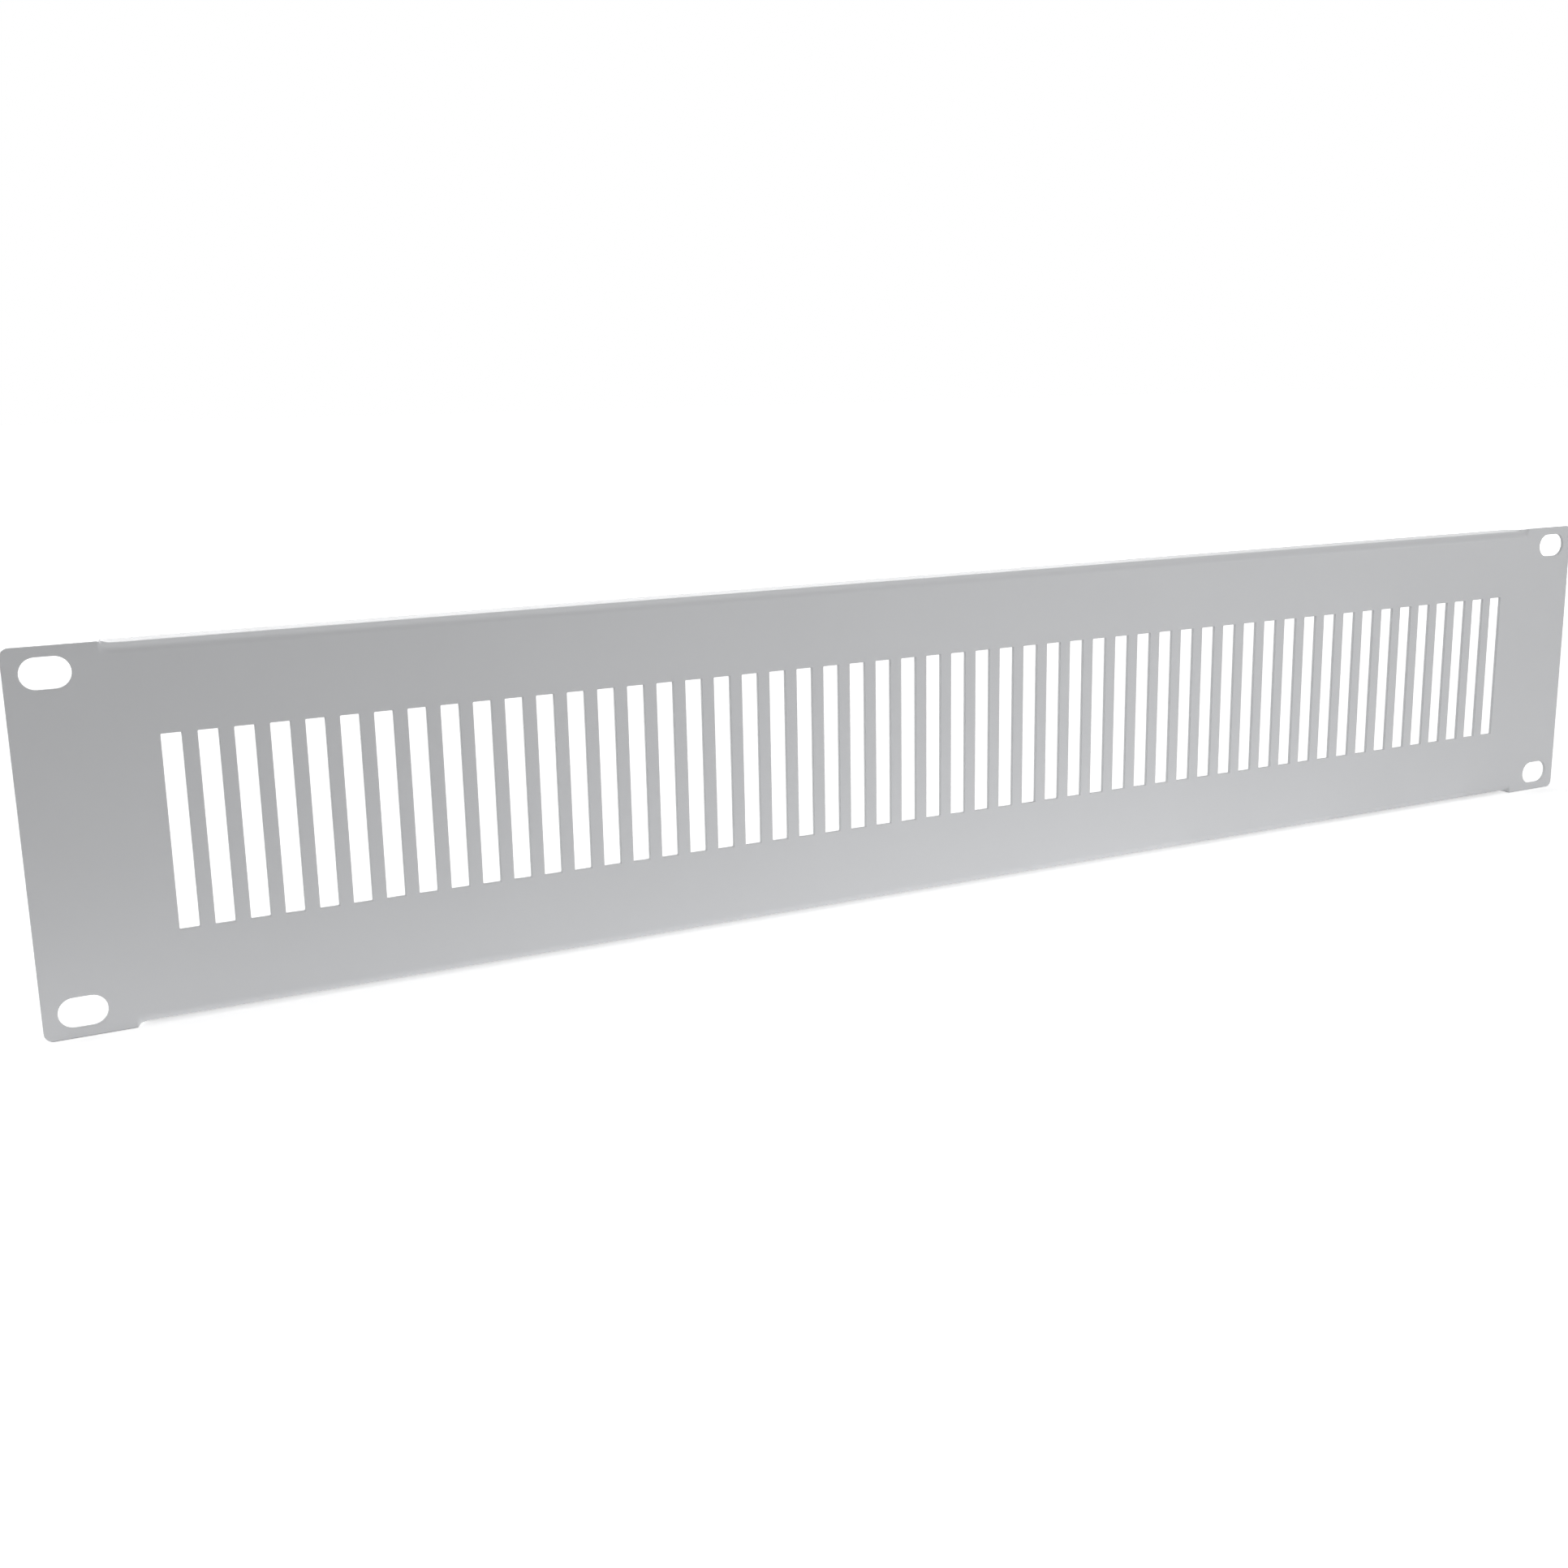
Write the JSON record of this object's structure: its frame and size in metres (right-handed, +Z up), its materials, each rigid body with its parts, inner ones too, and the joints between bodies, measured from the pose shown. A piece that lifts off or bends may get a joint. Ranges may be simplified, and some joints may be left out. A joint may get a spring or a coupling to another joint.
{
  "type": "rack blanking panel",
  "caption": "Ventilated blanking panel for a 19-inch rack: one folded sheet with upright vents, folded top and bottom edges and slotted ears.",
  "frame": {"origin": "centre of the four mounting slots, on the rear face of the ears, which meets the rack's rails", "axes": "+X along the width, +Y into the rack, towards the back of the panel, +Z up"},
  "size_m": [0.4826, 0.009, 0.088],
  "materials": {
    "powder_coat": "satin light grey powder coat on folded steel sheet"
  },
  "bodies": {
    "root": {"panel": "powder_coat"}
  },
  "joints": []
}
